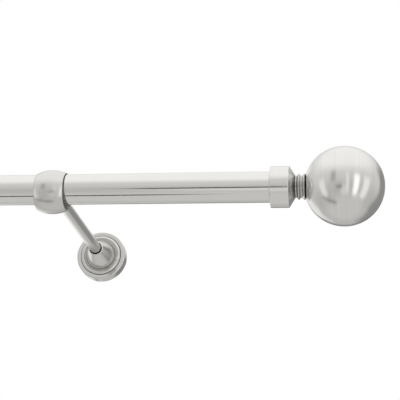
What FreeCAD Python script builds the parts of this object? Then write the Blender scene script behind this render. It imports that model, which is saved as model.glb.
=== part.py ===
"""Curtain rod with two wall brackets and two ball finials, in millimetres.

+X runs along the rod, +Y points into the wall, +Z is up. The origin is on the wall plane,
midway between the two brackets, at the height of the rod. Threads are plain cylinders.
"""
import FreeCAD
import Part
import math
import os

# Rod
ROD_RADIUS = 10.0
ROD_WALL = 1.0
ROD_LENGTH = 1200.0
ROD_OVERHANG = 152.0                # rod end beyond the bracket's middle
ROD_TO_WALL = 150.0
BRACKET_X = ROD_LENGTH / 2 - ROD_OVERHANG

# Ring head: a thin-walled barrel, hung so that the rod bears against the top of its bore
HEAD_WIDTH = 19.2
HEAD_MID_RADIUS = 14.4
HEAD_END_RADIUS = 12.3
HEAD_EDGE = 0.15
HEAD_BORE_RADIUS = 11.8
HEAD_TOP_GAP = 0.1                  # rod to the top of the bore
HEAD_DROP = HEAD_BORE_RADIUS - ROD_RADIUS - HEAD_TOP_GAP
HEAD_SEAT = 13.0                    # rod axis to the flat seat of the arm

# Arm
ARM_RADIUS = 4.15
ARM_SEAT_CLEARANCE = 0.1
ARM_EDGE = 0.3
ARM_SPIGOT_RADIUS = 3.0
ARM_SPIGOT_LENGTH = 1.3
ARM_TAPPED_DEPTH = 12.5

# Wall plate and its stud
PLATE_RADIUS = 17.2
PLATE_THICKNESS = 2.5
PLATE_HOLE_RADIUS = 2.25
PLATE_HOLE_SPACING = 22.0
WALL_STUD_RADIUS = 2.5
WALL_STUD_REACH = 14.0              # wall plane to the stud's tip

# Rosette: a hollow turned cover that slides along the arm, heights from the wall plane
ROSETTE_RADIUS = 18.8
ROSETTE_GAP = 0.2
ROSETTE_RIM_TOP = 8.3
ROSETTE_RIM_FILLET = 0.9
ROSETTE_RIM_INNER = 15.9
ROSETTE_GROOVE_RADIUS = 15.2
ROSETTE_GROOVE_TOP = 7.6
ROSETTE_BEAD_RADIUS = 13.6
ROSETTE_BEAD_TOP = 9.7
ROSETTE_BEAD_FOOT = 12.2
ROSETTE_FLANK_RADIUS = 11.8
ROSETTE_FLANK_FOOT = 8.5
ROSETTE_BELL_BULGE = 0.2
ROSETTE_LIP_RADIUS = 5.7
ROSETTE_TOP = 26.0
ROSETTE_HOLE_RADIUS = 4.8
ROSETTE_CAVITY_RADIUS = 17.3
ROSETTE_CAVITY_TOP = 6.5
ROSETTE_BELL_INNER = 9.3
ROSETTE_HOLE_FOOT = 23.4

# Finial: end cap, ribbed neck ring, ball
CAP_RADIUS = 13.35
CAP_BORE_RADIUS = 10.1
CAP_DEPTH = 10.4
CAP_END_GAP = 1.2                   # rod end to the cap's floor
CAP_BARREL = 12.1
CAP_NOSE = 3.7
CAP_EDGE = 0.4
NECK_RADIUS = 7.0
NECK_LENGTH = 6.65
NECK_GAP = 0.05
NECK_HOLE_RADIUS = 3.1
RIBS = ((0.85, 1.95, 3.45), (4.1, 5.75, NECK_LENGTH))   # foot, crest, far foot from the cap's side
RIB_RADIUS = 8.45
RIB_TIP = 0.15                      # half the flat on a rib's crest
BALL_RADIUS = 25.45
BALL_WALL = 1.0
INSERT_RADIUS = 8.6
INSERT_LENGTH = 8.0
INSERT_HOLE_RADIUS = 3.05
STUD_RADIUS = 3.0
STUD_LENGTH = 17.0
STUD_START = 1.0                    # cap floor to the stud's inner end

# Grub screws (M4, hollow hex), set at 45 degrees between straight down and the wall
SCREW_RADIUS = 1.95
SCREW_HOLE_RADIUS = 2.0
SCREW_TIP_GAP = 0.05                # screw point to the rod's surface
SCREW_TIP_CHAMFER = 0.5
SCREW_HEX = 2.0                     # across the flats
HEAD_SCREW_LENGTH = 5.3
CAP_SCREW_LENGTH = 3.0
CAP_SCREW_INSET = 5.2               # cap's open edge to the screw's axis

# Positions along X from the bracket's middle, outwards
CAP_START = ROD_OVERHANG + CAP_END_GAP - CAP_DEPTH
CAP_FLOOR = CAP_START + CAP_DEPTH
CAP_END = CAP_START + CAP_BARREL + CAP_NOSE
NECK_START = CAP_END + NECK_GAP
NECK_END = NECK_START + NECK_LENGTH
INSERT_START = NECK_END + NECK_GAP
BALL_CENTRE = INSERT_START + math.sqrt(BALL_RADIUS ** 2 - INSERT_RADIUS ** 2)

SIDES = {"left": -1, "right": 1}
TO_WALL = FreeCAD.Vector(0, 1, 0)
FROM_WALL = FreeCAD.Vector(0, -1, 0)
SCREW_DIRECTION = FreeCAD.Vector(0, math.sqrt(0.5), -math.sqrt(0.5))


def rod_point(x):
    """The point of the rod's axis at x."""
    return FreeCAD.Vector(x, -ROD_TO_WALL, 0)


def turned(steps, start, direction):
    """A solid of revolution. Steps are (along, radius), or a pair of them for an arc's middle and end."""
    side = FreeCAD.Vector(0, 0, 1)

    def place(point):
        return start + direction * point[0] + side * point[1]

    edges = []
    here = steps[0]
    for step in steps[1:] + [steps[0]]:
        if isinstance(step[0], tuple):
            middle, end = step
            edges.append(Part.Arc(place(here), place(middle), place(end)).toShape())
            here = end
        else:
            edges.append(Part.makeLine(place(here), place(step)))
            here = step
    face = Part.Face(Part.Wire(edges))
    return face.revolve(start, direction, 360)


def cylinder(radius, start, direction, length):
    return Part.makeCylinder(radius, length, start, direction)


def corner_on(along, radius, size):
    """The round corner, as an arc step, where an outline climbs from an end face onto the outside."""
    inset = size * (1 - math.sqrt(0.5))
    return (along + inset, radius - inset), (along + size, radius)


def corner_off(along, radius, size):
    """The round corner, as an arc step, where an outline leaves the outside for an end face."""
    inset = size * (1 - math.sqrt(0.5))
    return (along - inset, radius - inset), (along, radius - size)


def rod_tube():
    start = rod_point(-ROD_LENGTH / 2)
    axis = FreeCAD.Vector(1, 0, 0)
    outside = cylinder(ROD_RADIUS, start, axis, ROD_LENGTH)
    return outside.cut(cylinder(ROD_RADIUS - ROD_WALL, start, axis, ROD_LENGTH))


def head_barrel(x):
    """The bored barrel of the ring head before its side is drilled."""
    half = HEAD_WIDTH / 2
    centre = rod_point(x) - FreeCAD.Vector(0, 0, HEAD_DROP)
    return turned(
        [
            (-half, HEAD_BORE_RADIUS),
            (-half, HEAD_END_RADIUS - HEAD_EDGE),
            corner_on(-half, HEAD_END_RADIUS, HEAD_EDGE),
            ((0, HEAD_MID_RADIUS), (half - HEAD_EDGE, HEAD_END_RADIUS)),
            corner_off(half, HEAD_END_RADIUS, HEAD_EDGE),
            (half, HEAD_BORE_RADIUS),
        ],
        centre,
        FreeCAD.Vector(1, 0, 0),
    )


def ring_head(x):
    """The closed ring that carries the rod, drilled for the arm and the clamp screw."""
    seat_radius = ARM_RADIUS + ARM_SEAT_CLEARANCE
    seat = cylinder(seat_radius, rod_point(x) + TO_WALL * HEAD_SEAT, TO_WALL, HEAD_MID_RADIUS)
    spigot_hole = cylinder(ARM_SPIGOT_RADIUS, rod_point(x), TO_WALL, HEAD_SEAT)
    screw_hole = cylinder(SCREW_HOLE_RADIUS, rod_point(x), SCREW_DIRECTION, 2 * HEAD_MID_RADIUS)
    return head_barrel(x).cut(seat).cut(spigot_hole).cut(screw_hole)


def grub_screw(x, length):
    """A cup-point grub screw whose point stops just short of the rod."""
    tip = ROD_RADIUS + SCREW_TIP_GAP
    start = rod_point(x) + SCREW_DIRECTION * tip
    body = turned(
        [
            (0, 0),
            (0, SCREW_RADIUS - SCREW_TIP_CHAMFER),
            (SCREW_TIP_CHAMFER, SCREW_RADIUS),
            (length - SCREW_TIP_CHAMFER / 2, SCREW_RADIUS),
            (length, SCREW_RADIUS - SCREW_TIP_CHAMFER / 2),
            (length, 0),
        ],
        FreeCAD.Vector(0, 0, 0),
        FreeCAD.Vector(1, 0, 0),
    )
    socket = hex_prism(SCREW_HEX, length / 2).translated(FreeCAD.Vector(length / 2, 0, 0))
    screw = body.cut(socket)
    turn = FreeCAD.Rotation(FreeCAD.Vector(1, 0, 0), SCREW_DIRECTION)
    screw.Placement = FreeCAD.Placement(start, turn)
    return screw


def hex_prism(across_flats, length):
    """A hexagonal prism along +X from the origin."""
    reach = across_flats / math.sqrt(3)
    corners = []
    for count in range(7):
        angle = math.radians(60 * count)
        corners.append(FreeCAD.Vector(0, reach * math.cos(angle), reach * math.sin(angle)))
    return Part.Face(Part.makePolygon(corners)).extrude(FreeCAD.Vector(length, 0, 0))


def arm(x):
    """The solid round arm, tapped at the wall end, with a spigot that is brazed into the ring head."""
    wall_end = FreeCAD.Vector(x, -PLATE_THICKNESS, 0)
    length = ROD_TO_WALL - HEAD_SEAT - PLATE_THICKNESS
    bar = turned(
        [
            (0, 0),
            (0, ARM_RADIUS - ARM_EDGE),
            (ARM_EDGE, ARM_RADIUS),
            (length - ARM_EDGE, ARM_RADIUS),
            (length, ARM_RADIUS - ARM_EDGE),
            (length, ARM_SPIGOT_RADIUS),
            (length + ARM_SPIGOT_LENGTH, ARM_SPIGOT_RADIUS),
            (length + ARM_SPIGOT_LENGTH, 0),
        ],
        wall_end,
        FROM_WALL,
    )
    return bar.cut(cylinder(WALL_STUD_RADIUS, wall_end, FROM_WALL, ARM_TAPPED_DEPTH))


def wall_plate(x):
    """The steel disc that two wall screws hold, under the rosette."""
    wall = FreeCAD.Vector(x, 0, 0)
    plate = cylinder(PLATE_RADIUS, wall, FROM_WALL, PLATE_THICKNESS)
    plate = plate.cut(cylinder(WALL_STUD_RADIUS, wall, FROM_WALL, PLATE_THICKNESS))
    for sign in (-1, 1):
        hole = wall + FreeCAD.Vector(0, 0, sign * PLATE_HOLE_SPACING / 2)
        plate = plate.cut(cylinder(PLATE_HOLE_RADIUS, hole, FROM_WALL, PLATE_THICKNESS))
    return plate


def wall_stud(x):
    """The stud fixed in the wall plate, which the arm screws on to."""
    return cylinder(WALL_STUD_RADIUS, FreeCAD.Vector(x, 0, 0), FROM_WALL, WALL_STUD_REACH)


def rosette(x):
    """The bell-shaped cover: rim, groove, bead, groove and a tall bell around the arm."""
    lip = ROSETTE_LIP_RADIUS - ROSETTE_HOLE_RADIUS
    bell_middle = (
        (ROSETTE_FLANK_FOOT + ROSETTE_TOP - lip) / 2,
        (ROSETTE_FLANK_RADIUS + ROSETTE_LIP_RADIUS) / 2 + ROSETTE_BELL_BULGE,
    )
    return turned(
        [
            (ROSETTE_GAP, ROSETTE_CAVITY_RADIUS),
            (ROSETTE_GAP, ROSETTE_RADIUS),
            (ROSETTE_RIM_TOP - ROSETTE_RIM_FILLET, ROSETTE_RADIUS),
            corner_off(ROSETTE_RIM_TOP, ROSETTE_RADIUS, ROSETTE_RIM_FILLET),
            (ROSETTE_RIM_TOP, ROSETTE_RIM_INNER),
            (ROSETTE_GROOVE_TOP, ROSETTE_GROOVE_RADIUS),
            ((ROSETTE_BEAD_TOP, ROSETTE_BEAD_RADIUS), (ROSETTE_FLANK_FOOT, ROSETTE_BEAD_FOOT)),
            (ROSETTE_FLANK_FOOT, ROSETTE_FLANK_RADIUS),
            (bell_middle, (ROSETTE_TOP - lip, ROSETTE_LIP_RADIUS)),
            corner_off(ROSETTE_TOP, ROSETTE_LIP_RADIUS, lip),
            (ROSETTE_HOLE_FOOT, ROSETTE_HOLE_RADIUS),
            (ROSETTE_CAVITY_TOP, ROSETTE_BELL_INNER),
            (ROSETTE_CAVITY_TOP, ROSETTE_CAVITY_RADIUS),
        ],
        FreeCAD.Vector(x, 0, 0),
        FROM_WALL,
    )


def end_cap(start, outwards):
    """The cup that slides over the rod's end, with a conical nose tapped for the finial stud."""
    cap = turned(
        [
            (0, CAP_BORE_RADIUS),
            (0, CAP_RADIUS - CAP_EDGE),
            corner_on(0, CAP_RADIUS, CAP_EDGE),
            (CAP_BARREL - CAP_EDGE, CAP_RADIUS),
            corner_off(CAP_BARREL, CAP_RADIUS, CAP_EDGE),
            (CAP_BARREL + CAP_NOSE, NECK_RADIUS),
            (CAP_BARREL + CAP_NOSE, STUD_RADIUS),
            (CAP_DEPTH, STUD_RADIUS),
            (CAP_DEPTH, CAP_BORE_RADIUS),
        ],
        rod_point(start),
        outwards,
    )
    screw_x = start + outwards.x * CAP_SCREW_INSET
    return cap.cut(cylinder(SCREW_HOLE_RADIUS, rod_point(screw_x), SCREW_DIRECTION, 2 * CAP_RADIUS))


def neck_ring(start, outwards):
    """The turned ring with two sharp ribs between the cap and the ball."""
    outline = [(0, NECK_HOLE_RADIUS), (0, NECK_RADIUS)]
    for foot, crest, far_foot in RIBS:
        outline.append((foot, NECK_RADIUS))
        outline.append((crest - RIB_TIP, RIB_RADIUS))
        outline.append((crest + RIB_TIP, RIB_RADIUS))
        outline.append((far_foot, NECK_RADIUS))
    outline.append((NECK_LENGTH, NECK_HOLE_RADIUS))
    return turned(outline, rod_point(start), outwards)


def finial_stud(start, outwards):
    return cylinder(STUD_RADIUS, rod_point(start), outwards, STUD_LENGTH)


def ball_shell(centre_x, outwards):
    """The hollow ball, open where the insert is welded in."""
    inside = BALL_RADIUS - BALL_WALL
    mouth = -math.sqrt(BALL_RADIUS ** 2 - INSERT_RADIUS ** 2)
    inner_mouth = -math.sqrt(inside ** 2 - INSERT_RADIUS ** 2)
    return turned(
        [
            (mouth, INSERT_RADIUS),
            ((0, BALL_RADIUS), (BALL_RADIUS, 0)),
            (inside, 0),
            ((0, inside), (inner_mouth, INSERT_RADIUS)),
        ],
        rod_point(centre_x),
        outwards,
    )


def ball_insert(start, outwards):
    """The threaded bush inside the ball."""
    bush = cylinder(INSERT_RADIUS, rod_point(start), outwards, INSERT_LENGTH)
    return bush.cut(cylinder(INSERT_HOLE_RADIUS, rod_point(start), outwards, INSERT_LENGTH))


def build():
    shapes = {"rod_tube": rod_tube()}
    for side, sign in SIDES.items():
        x = sign * BRACKET_X
        outwards = FreeCAD.Vector(sign, 0, 0)

        def along(distance):
            return x + sign * distance

        shapes["ring_head_" + side] = ring_head(x)
        shapes["clamp_screw_" + side] = grub_screw(x, HEAD_SCREW_LENGTH)
        shapes["arm_" + side] = arm(x)
        shapes["wall_plate_" + side] = wall_plate(x)
        shapes["wall_stud_" + side] = wall_stud(x)
        shapes["rosette_" + side] = rosette(x)
        shapes["end_cap_" + side] = end_cap(along(CAP_START), outwards)
        shapes["cap_screw_" + side] = grub_screw(along(CAP_START + CAP_SCREW_INSET), CAP_SCREW_LENGTH)
        shapes["finial_stud_" + side] = finial_stud(along(CAP_FLOOR + STUD_START), outwards)
        shapes["neck_ring_" + side] = neck_ring(along(NECK_START), outwards)
        shapes["ball_" + side] = ball_shell(along(BALL_CENTRE), outwards)
        shapes["ball_insert_" + side] = ball_insert(along(INSERT_START), outwards)
    return shapes


os.makedirs("parts", exist_ok=True)
for name, shape in build().items():
    if not shape.isValid() or len(shape.Solids) != 1:
        raise ValueError(name + " is not one valid solid")
    shape.exportStep("parts/" + name + ".step")
    print(name, round(shape.Volume, 1), shape.BoundBox)
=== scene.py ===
"""Looks of a satin nickel curtain rod with ring brackets, bell rosettes and ball finials.

Everything is in metres in the CAD frame: +X along the rod, +Y into the wall, +Z up.
"""

import bpy
import math
from mathutils import Matrix, Vector


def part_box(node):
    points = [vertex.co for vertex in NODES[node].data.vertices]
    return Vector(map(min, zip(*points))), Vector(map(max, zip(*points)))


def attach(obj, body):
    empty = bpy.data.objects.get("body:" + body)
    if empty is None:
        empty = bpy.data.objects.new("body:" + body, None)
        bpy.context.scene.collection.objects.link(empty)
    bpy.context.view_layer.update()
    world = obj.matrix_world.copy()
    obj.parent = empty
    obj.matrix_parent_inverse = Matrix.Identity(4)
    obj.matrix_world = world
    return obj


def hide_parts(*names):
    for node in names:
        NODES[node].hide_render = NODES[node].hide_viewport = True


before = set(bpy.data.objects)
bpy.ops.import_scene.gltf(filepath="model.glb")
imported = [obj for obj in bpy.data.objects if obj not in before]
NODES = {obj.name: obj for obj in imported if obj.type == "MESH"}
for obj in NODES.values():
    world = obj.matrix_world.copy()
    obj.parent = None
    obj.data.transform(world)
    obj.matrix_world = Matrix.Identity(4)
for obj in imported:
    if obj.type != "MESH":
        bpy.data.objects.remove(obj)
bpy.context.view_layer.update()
SIDES = ("left", "right")

# Camera: where it stands from the right bracket's ring, and how it is turned
CAMERA_FROM_RING = Vector((0.2041, -0.6743, -0.2596))
CAMERA_YAW = math.radians(8.97)         # to the left of square on the wall
CAMERA_PITCH = math.radians(20.21)      # upwards
CAMERA_ROLL = math.radians(2.52)
CAMERA_LENS = 102.4
FLOOR_DROP = 0.50                       # rod axis to the floor
FLOOR_HALF_SIZE = 40.0


def middle(node):
    """The centre of a CAD node's box."""
    low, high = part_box(node)
    return (low + high) / 2


ROD_AXIS = middle("rod_tube")
RING = Vector((middle("ring_head_right").x, ROD_AXIS.y, ROD_AXIS.z))    # on the rod, in the right ring

# The ring heads' bore, which is matt inside
BORE_HEIGHT = middle("ring_head_right").z
BORE_RADIUS = 0.0118
BORE_EDGE = 0.0001
BORE_ROUGHNESS = 0.6

# The finial studs' thread
THREAD_PITCH = 0.001
THREAD_DEPTH = 0.0006
THREAD_STEPS = 8                        # rings of vertices in one pitch
THREAD_SECTORS = 40

# Brush lines: cells of noise per metre along and across them, and the share of the latter along an arm
GRAIN_ALONG = 8.0
GRAIN_ACROSS = 2500.0
GRAIN_CLIMB = 0.4
# Unevenness of the plating, and specks in it, in cells of noise per metre
CLOUD_SCALE = 60.0
SPECK_SCALE = 900.0
# How strongly each of them changes the tone, the roughness and the surface
LINE_TONE = 0.35
LINE_ROUGHNESS = 0.20
LINE_BUMP = 0.25
LINE_DEPTH = 0.00004
CLOUD_TONE = 0.12
CLOUD_ROUGHNESS = 0.10
SPECK_ROUGHNESS = 0.04
EDGE_POLISH = 0.05
EDGE_TURN = (0.85, 0.995)               # cosine of the turn at a sharp edge, and where an edge starts
SHADE_OPENNESS = (0.25, 0.95)         # how open a corner is where its painted shade is darkest, and where there is none
SHADE_SAMPLES = 8                       # rays that look for an edge or a corner


class Tree:
    """A node tree with short calls for adding nodes and wiring them."""

    def __init__(self, owner):
        owner.use_nodes = True
        self.tree = owner.node_tree
        self.tree.nodes.clear()

    def add(self, kind, sockets=None, **settings):
        """A new node. Sockets are {name or number: value or another node's output}."""
        node = self.tree.nodes.new(kind)
        for key, value in settings.items():
            setattr(node, key, value)
        for key, value in (sockets or {}).items():
            if isinstance(value, bpy.types.NodeSocket):
                self.tree.links.new(value, node.inputs[key])
            else:
                node.inputs[key].default_value = value
        return node

    def math(self, operation, first, second=0.0, third=0.0, clamp=False):
        """One step of arithmetic."""
        sockets = {0: first, 1: second, 2: third}
        return self.add("ShaderNodeMath", sockets, operation=operation, use_clamp=clamp).outputs[0]

    def vary(self, value, noise, amount):
        """The value, up or down by half the amount where the noise is 1 or 0."""
        change = self.math("MULTIPLY", self.math("SUBTRACT", noise, 0.5), amount)
        return self.math("ADD", value, change)

    def spread(self, value, low, high, from_low, from_high):
        """The value moved from one range to another, and held at its ends."""
        sockets = {"Value": value, "From Min": from_low, "From Max": from_high, "To Min": low, "To Max": high}
        return self.add("ShaderNodeMapRange", sockets).outputs["Result"]

    def step(self, value, start, end):
        """A smooth step from 0 to 1."""
        sockets = {"Value": value, "From Min": start, "From Max": end}
        return self.add("ShaderNodeMapRange", sockets, interpolation_type="SMOOTHSTEP").outputs["Result"]

    def mix(self, share, first, second):
        """Mixes two numbers."""
        sockets = {"Factor": share, "A": first, "B": second}
        return self.add("ShaderNodeMix", sockets, data_type="FLOAT").outputs["Result"]

    def mix_colour(self, share, first, second, blend="MIX"):
        """Mixes two colours. The colour sockets share their names with others, so they go by number."""
        node = self.add("ShaderNodeMix", data_type="RGBA", blend_type=blend)
        for key, value in ((0, share), (6, first), (7, second)):
            if isinstance(value, bpy.types.NodeSocket):
                self.tree.links.new(value, node.inputs[key])
            else:
                node.inputs[key].default_value = value
        return node.outputs[2]

    def noise(self, coords, scale, detail):
        """Noise from 0 to 1."""
        sockets = {"Vector": coords, "Scale": scale, "Detail": detail}
        return self.add("ShaderNodeTexNoise", sockets).outputs["Fac"]


# Studio, in degrees. Side is 0 on the viewer's side of the rod and 90 at its right end, and height is above
# the horizon. Levels are what a satin nickel mirror shows: 1 is the backdrop's white, and a window may be
# brighter.
SKY_LOW = 0.64
SKY_HIGH = 0.84
SKY_DEPTH = 28                          # from the skyline up to the full brightness
HAZE = 0.57                             # just below the skyline
HAZE_FADE = (-25, 15)
GROUND = 0.45
NADIR = 0.53                            # straight down
NADIR_FADE = (-60, -35)
SKYLINE = 22.0
SKYLINE_BEHIND = 38.0
SKYLINE_TURN = (60, 150)                # the sides between which the skyline rises
SKYLINE_SOFTNESS = 4
METAL_SHARE = 0.72                      # of the light that the metal gives back
# Panels: name, side, half width, lowest, highest, softness, level
PANELS = (
    ("soft front fill", 2, 14, -44, -20, 8, 0.62),
    ("near window", 10, 4, -32, 18, 4, 0.74),
    ("right window", 36, 8, -42, 15, 4, 1.05),
    ("far right window", 66, 10, -42, 12, 6, 0.80),
    ("left window", -66, 9, -36, 6, 5, 0.74),
    ("dark stand", -30, 7, -4, 24, 8, 0.34),
    ("dark corner", 142, 24, -32, 34, 14, 0.24),
    ("back window", -146, 20, -26, 34, 12, 0.76),
    ("dark wall", 180, 20, -14, 15, 6, 0.20),
)
# Flags that only the metal sees: name, centre from the right ring, half length and half width in metres,
# tilt in degrees, and the share of the half length over which the ends fade
FLAGS = (
    ("flag_front", (0.01, -0.674, -0.26), 0.14, 0.074, 21.0, 0.50),
    ("flag_low", (-0.26, -0.161, -0.42), 0.34, 0.045, 69.0, 0.35),
)
FLAG_EDGE = 0.5                         # share of the half width over which the sides fade


def studio_level(tree, direction):
    """The studio's brightness in a direction."""
    split = tree.add("ShaderNodeSeparateXYZ", {0: direction})
    x, y, z = (split.outputs[axis] for axis in "XYZ")
    degrees = 180 / math.pi
    height = tree.math("MULTIPLY", tree.math("ARCSINE", z), degrees)
    side = tree.math("MULTIPLY", tree.math("ARCTAN2", x, tree.math("MULTIPLY", y, -1)), degrees)
    behind = tree.step(tree.math("ABSOLUTE", side), *SKYLINE_TURN)
    over = tree.math("SUBTRACT", height, tree.mix(behind, SKYLINE, SKYLINE_BEHIND))
    sky = tree.mix(tree.step(over, 0, SKY_DEPTH), SKY_LOW, SKY_HIGH)
    ground = tree.mix(tree.step(height, *NADIR_FADE), NADIR, GROUND)
    ground = tree.mix(tree.step(height, *HAZE_FADE), ground, HAZE)
    level = tree.mix(tree.step(over, -SKYLINE_SOFTNESS, SKYLINE_SOFTNESS), ground, sky)
    for _, centre, half, low, high, soft, brightness in PANELS:
        turn = tree.math("SUBTRACT", side, centre)
        away = tree.math("ABSOLUTE", tree.math("WRAP", turn, 180.0, -180.0))
        mask = tree.step(away, half + soft / 2, half - soft / 2)
        mask = tree.math("MULTIPLY", mask, tree.step(height, low - soft / 2, low + soft / 2))
        mask = tree.math("MULTIPLY", mask, tree.step(height, high + soft / 2, high - soft / 2))
        level = tree.mix(mask, level, brightness)
    return level


def studio_world():
    """The studio that the metal mirrors, behind a white backdrop that only the camera sees."""
    world = bpy.data.worlds.new("studio")
    bpy.context.scene.world = world
    tree = Tree(world)
    direction = tree.add("ShaderNodeTexCoord").outputs["Generated"]
    level = tree.math("DIVIDE", studio_level(tree, direction), METAL_SHARE)
    light = tree.add("ShaderNodeBackground", {"Color": (1, 1, 1, 1), "Strength": level})
    backdrop = tree.add("ShaderNodeBackground", {"Color": (1, 1, 1, 1), "Strength": 1.0})
    seen = tree.add("ShaderNodeLightPath").outputs["Is Camera Ray"]
    shader = tree.add("ShaderNodeMixShader", {0: seen, 1: light.outputs[0], 2: backdrop.outputs[0]})
    tree.add("ShaderNodeOutputWorld", {"Surface": shader.outputs[0]})


def rectangle(name, half_length, half_width):
    """A flat rectangle about its own origin, longest along X."""
    x, y = half_length, half_width
    mesh = bpy.data.meshes.new(name)
    mesh.from_pydata([(-x, -y, 0), (x, -y, 0), (x, y, 0), (-x, y, 0)], [], [(0, 1, 2, 3)])
    obj = bpy.data.objects.new(name, mesh)
    bpy.context.scene.collection.objects.link(obj)
    return obj


def flag(name, centre, half_length, half_width, tilt, fade):
    """A long dark strip beside the rod with soft ends and edges, seen only in the metal."""
    obj = rectangle(name, half_length, half_width)
    turn = Matrix.Rotation(math.radians(90 - tilt), 4, "X")
    obj.matrix_world = Matrix.Translation(RING + Vector(centre)) @ turn
    obj.visible_camera = False
    obj.visible_diffuse = False
    obj.visible_shadow = False
    material = bpy.data.materials.new(name)
    tree = Tree(material)
    split = tree.add("ShaderNodeSeparateXYZ", {0: tree.add("ShaderNodeTexCoord").outputs["Object"]})
    ends = tree.step(tree.math("ABSOLUTE", split.outputs["X"]), half_length, half_length * (1 - fade))
    edges = tree.step(tree.math("ABSOLUTE", split.outputs["Y"]), half_width, half_width * (1 - FLAG_EDGE))
    clear = tree.add("ShaderNodeBsdfTransparent").outputs[0]
    dark = tree.add("ShaderNodeEmission", {"Color": (0, 0, 0, 1), "Strength": 0.0}).outputs[0]
    surface = tree.add("ShaderNodeMixShader", {0: tree.math("MULTIPLY", ends, edges), 1: clear, 2: dark})
    tree.add("ShaderNodeOutputMaterial", {"Surface": surface.outputs[0]})
    obj.data.materials.append(material)


def floor():
    """A plain pale floor well below the rod, which the metal doesn't mirror."""
    obj = rectangle("floor", FLOOR_HALF_SIZE, FLOOR_HALF_SIZE)
    obj.location.z = ROD_AXIS.z - FLOOR_DROP
    obj.visible_glossy = False
    material = bpy.data.materials.new("floor_pale")
    tree = Tree(material)
    mottle = tree.noise(tree.add("ShaderNodeTexCoord").outputs["Object"], 3.0, 2.0)
    colour = tree.mix_colour(mottle, (0.86, 0.86, 0.85, 1), (0.90, 0.90, 0.89, 1))
    surface = tree.add("ShaderNodeBsdfPrincipled", {"Base Color": colour, "Roughness": 0.8})
    tree.add("ShaderNodeOutputMaterial", {"Surface": surface.outputs[0]})
    obj.data.materials.append(material)


def camera():
    """The camera, which looks up at the right bracket from below."""
    data = bpy.data.cameras.new("camera")
    data.lens = CAMERA_LENS
    data.sensor_width = 36
    data.clip_start = 0.01
    cam = bpy.data.objects.new("camera", data)
    bpy.context.scene.collection.objects.link(cam)
    yaw = Matrix.Rotation(CAMERA_YAW, 4, "Z")
    pitch = Matrix.Rotation(math.pi / 2 + CAMERA_PITCH, 4, "X")
    roll = Matrix.Rotation(CAMERA_ROLL, 4, "Z")
    cam.matrix_world = Matrix.Translation(RING + CAMERA_FROM_RING) @ yaw @ pitch @ roll
    bpy.context.scene.camera = cam


def grain_coords(tree, grain):
    """Object coordinates stretched along the brush lines: drawn along X or Y, or turned round it."""
    coords = tree.add("ShaderNodeTexCoord").outputs["Object"]
    if grain == "turned_y":
        return turned_y_coords(tree, coords)
    scale = {
        "drawn_x": (GRAIN_ALONG, GRAIN_ACROSS, GRAIN_ACROSS),
        "drawn_y": (GRAIN_ACROSS, GRAIN_ALONG, GRAIN_ACROSS),
        "turned_x": (GRAIN_ACROSS, GRAIN_ALONG, GRAIN_ALONG),
    }
    return tree.add("ShaderNodeMapping", {"Vector": coords, "Scale": scale[grain]}).outputs[0]


def turned_y_coords(tree, coords):
    """Lines round each arm's axis. The two arms are as far from the middle as the right ring is."""
    split = tree.add("ShaderNodeSeparateXYZ", {0: coords})
    x = tree.math("SUBTRACT", tree.math("ABSOLUTE", split.outputs["X"]), RING.x)
    z = tree.math("SUBTRACT", split.outputs["Z"], ROD_AXIS.z)
    radius = tree.math("MULTIPLY", distance(tree, x, z), GRAIN_ACROSS)
    height = tree.math("MULTIPLY", split.outputs["Y"], GRAIN_ACROSS * GRAIN_CLIMB)
    lines = tree.math("ADD", radius, height)
    y = tree.math("MULTIPLY", x, GRAIN_ALONG)
    z = tree.math("MULTIPLY", z, GRAIN_ALONG)
    return tree.add("ShaderNodeCombineXYZ", {"X": lines, "Y": y, "Z": z}).outputs[0]


def distance(tree, across, up):
    """The distance from an axis, given the distance from it in two directions."""
    squares = tree.math("ADD", tree.math("MULTIPLY", across, across), tree.math("MULTIPLY", up, up))
    return tree.math("SQRT", squares)


def bore_radius(tree, coords):
    """The distance from the axis of the ring heads' bore."""
    split = tree.add("ShaderNodeSeparateXYZ", {0: coords})
    y = tree.math("SUBTRACT", split.outputs["Y"], ROD_AXIS.y)
    z = tree.math("SUBTRACT", split.outputs["Z"], BORE_HEIGHT)
    return distance(tree, y, z)


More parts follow.
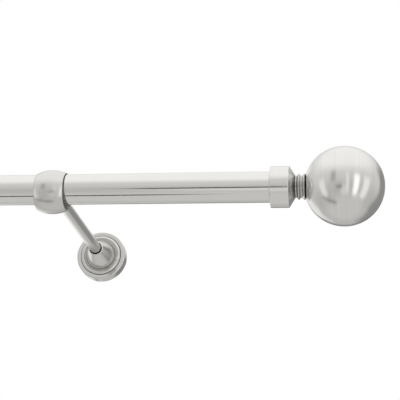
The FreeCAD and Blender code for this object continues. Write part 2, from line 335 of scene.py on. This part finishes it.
def nickel(name, colour, roughness, grain, anisotropy, lines, clouds=0.5, shade_reach=0.002, corner_shade=0.5,
           painted_edge_light=0.10, edge_width=0.0003, bore=0.0):
    """Satin metal: brush lines, a little unevenness in the plating, painted shade in corners and painted
    light along edges.

    lines and clouds are the strengths of the brush lines and of the unevenness. shade_reach is how near a
    corner the painted shade lies and corner_shade how dark it is. painted_edge_light is how much lighter the
    edges are painted, as a highlight, or darker below 0, as painted shade; edge_width is how wide they are,
    and bore the radius inside which a ring head is matt.
    """
    material = bpy.data.materials.new(name)
    tree = Tree(material)
    coords = tree.add("ShaderNodeTexCoord").outputs["Object"]
    fine = tree.noise(grain_coords(tree, grain), 1.0, 4.0)
    uneven = tree.noise(coords, CLOUD_SCALE, 3.0)
    speck = tree.noise(coords, SPECK_SCALE, 2.0)

    rounded = tree.add("ShaderNodeBevel", {"Radius": edge_width}, samples=SHADE_SAMPLES).outputs[0]
    flat = tree.add("ShaderNodeNewGeometry").outputs["Normal"]
    agree = tree.add("ShaderNodeVectorMath", {0: rounded, 1: flat}, operation="DOT_PRODUCT").outputs["Value"]
    edge = tree.spread(agree, 1.0, 0.0, *EDGE_TURN)
    corner = tree.add("ShaderNodeAmbientOcclusion", {"Distance": shade_reach}, samples=SHADE_SAMPLES)

    tone = tree.vary(1.0, fine, LINE_TONE * lines)
    tone = tree.vary(tone, uneven, CLOUD_TONE * clouds)
    # Painted light along the edges: a lighter tone as a highlight, and a darker one as shade where the amount
    # is below 0.
    tone = tree.math("ADD", tone, tree.math("MULTIPLY", edge, painted_edge_light))
    # Painted shade: the tone darkens where the ambient occlusion finds a corner close by.
    tone = tree.math("MULTIPLY", tone, tree.spread(corner.outputs["AO"], 1.0 - corner_shade, 1.0, *SHADE_OPENNESS))
    grey = tree.add("ShaderNodeCombineColor", {0: tone, 1: tone, 2: tone}).outputs[0]
    plain = tree.mix_colour(1.0, (*colour, 1), grey, "MULTIPLY")

    rough = tree.vary(roughness, fine, LINE_ROUGHNESS * lines)
    rough = tree.vary(rough, uneven, CLOUD_ROUGHNESS * clouds)
    rough = tree.vary(rough, speck, SPECK_ROUGHNESS)
    rough = tree.math("SUBTRACT", rough, tree.math("MULTIPLY", edge, EDGE_POLISH), clamp=True)
    ridges = {"Height": fine, "Strength": LINE_BUMP * lines, "Distance": LINE_DEPTH, "Normal": rounded}
    bump = tree.add("ShaderNodeBump", ridges).outputs[0]

    metallic = 1.0
    if bore:
        inside = tree.step(bore_radius(tree, coords), bore + BORE_EDGE, bore)
        metallic = tree.math("SUBTRACT", 1.0, inside)
        rough = tree.mix(inside, rough, BORE_ROUGHNESS)

    tangent = tree.add("ShaderNodeTangent", direction_type="RADIAL", axis="Y" if grain.endswith("y") else "X")
    surface = tree.add(
        "ShaderNodeBsdfPrincipled",
        {
            "Base Color": plain,
            "Metallic": metallic,
            "Roughness": rough,
            "Anisotropic": anisotropy,
            "Anisotropic Rotation": 0.0 if grain.startswith("turned") else 0.25,
            "Normal": bump,
            "Tangent": tangent.outputs[0],
        },
    )
    tree.add("ShaderNodeOutputMaterial", {"Surface": surface.outputs[0]})
    return material


def thread_radius(along, length, turn, crest):
    """The radius of a thread at a distance along it and a part of a turn, with chamfered ends."""
    phase = (along / THREAD_PITCH - turn) % 1.0
    rise = 1 - abs(2 * phase - 1)
    ends = min(1.0, along / THREAD_PITCH, (length - along) / THREAD_PITCH)
    return crest - THREAD_DEPTH * (1 - rise * max(ends, 0.0))


def finial_stud(side, material):
    """The threaded stud in place of the plain CAD one."""
    node = "finial_stud_" + side
    low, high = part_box(node)
    crest = (high.y - low.y) / 2
    length = high.x - low.x
    count = round(length / THREAD_PITCH) * THREAD_STEPS
    points = []
    for ring in range(count + 1):
        along = length * ring / count
        for sector in range(THREAD_SECTORS):
            turn = sector / THREAD_SECTORS
            radius = thread_radius(along, length, turn, crest)
            angle = 2 * math.pi * turn
            y = ROD_AXIS.y + radius * math.cos(angle)
            points.append((low.x + along, y, ROD_AXIS.z + radius * math.sin(angle)))
    faces = []
    for ring in range(count):
        for sector in range(THREAD_SECTORS):
            here = ring * THREAD_SECTORS + sector
            beside = ring * THREAD_SECTORS + (sector + 1) % THREAD_SECTORS
            faces.append((here, beside, beside + THREAD_SECTORS, here + THREAD_SECTORS))
    faces.append(tuple(reversed(range(THREAD_SECTORS))))
    faces.append(tuple(range(count * THREAD_SECTORS, (count + 1) * THREAD_SECTORS)))
    mesh = bpy.data.meshes.new("threaded_stud_" + side)
    mesh.from_pydata(points, [], faces)
    mesh.materials.append(material)
    obj = bpy.data.objects.new("threaded_stud_" + side, mesh)
    bpy.context.scene.collection.objects.link(obj)
    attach(obj, "finial_" + side)
    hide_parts(node)


def dress(material, *names):
    """Gives CAD nodes a material."""
    for name in names:
        for place in NODES[name].material_slots:
            place.material = material


def both(*names):
    """The left and right nodes of each name."""
    return [name + "_" + side for name in names for side in SIDES]


def dress_all():
    """Gives every CAD node its material, and makes the threaded studs."""
    silver = (0.72, 0.71, 0.685)
    # A darker copy of the silver, which paints shade into the ring heads; the rosettes use it as well.
    darker_silver = (0.66, 0.65, 0.625)

    rod = nickel("nickel_rod", silver, 0.11, "drawn_x", 0.0, lines=0.2, clouds=0.3, shade_reach=0.001, corner_shade=0.6)
    dress(rod, "rod_tube")
    # The ring heads' edges are painted darker, as shade along their outline.
    ring = nickel("nickel_ring", darker_silver, 0.25, "turned_x", 0.3, lines=0.05, clouds=0.8, corner_shade=0.3, painted_edge_light=-0.45,
                  edge_width=0.0008, bore=BORE_RADIUS)
    dress(ring, *both("ring_head"))
    arm = nickel("nickel_arm", silver, 0.17, "drawn_y", 0.0, lines=0.15)
    dress(arm, *both("arm"))
    rosette = nickel("nickel_rosette", darker_silver, 0.14, "turned_y", 0.0, lines=0.02, clouds=0.2, corner_shade=0.1,
                     edge_width=0.0001)
    dress(rosette, *both("rosette"))

    # The cap, neck and ball get deep painted shade in the corners between them.
    cap = nickel("nickel_cap", silver, 0.14, "turned_x", 0.2, lines=0.3, shade_reach=0.010, corner_shade=0.9)
    dress(cap, *both("end_cap"))
    neck = nickel("nickel_neck", silver, 0.13, "turned_x", 0.2, lines=0.2, shade_reach=0.006, corner_shade=0.9)
    dress(neck, *both("neck_ring"))
    ball = nickel("nickel_ball", silver, 0.19, "turned_x", 0.75, lines=0.5, clouds=1.0, shade_reach=0.005,
                  corner_shade=0.8)
    dress(ball, *both("ball"))

    zinc = nickel("zinc_steel", (0.58, 0.59, 0.60), 0.35, "turned_y", 0.0, lines=0.3, clouds=1.0)
    dress(zinc, *both("wall_plate", "wall_stud", "ball_insert"))
    for side in SIDES:
        finial_stud(side, zinc)
    black = nickel("black_oxide", (0.05, 0.05, 0.055), 0.40, "turned_x", 0.0, lines=0.3)
    dress(black, *both("clamp_screw", "cap_screw"))


camera()
studio_world()
for details in FLAGS:
    flag(*details)
floor()
dress_all()
bpy.context.scene.view_settings.view_transform = "Standard"
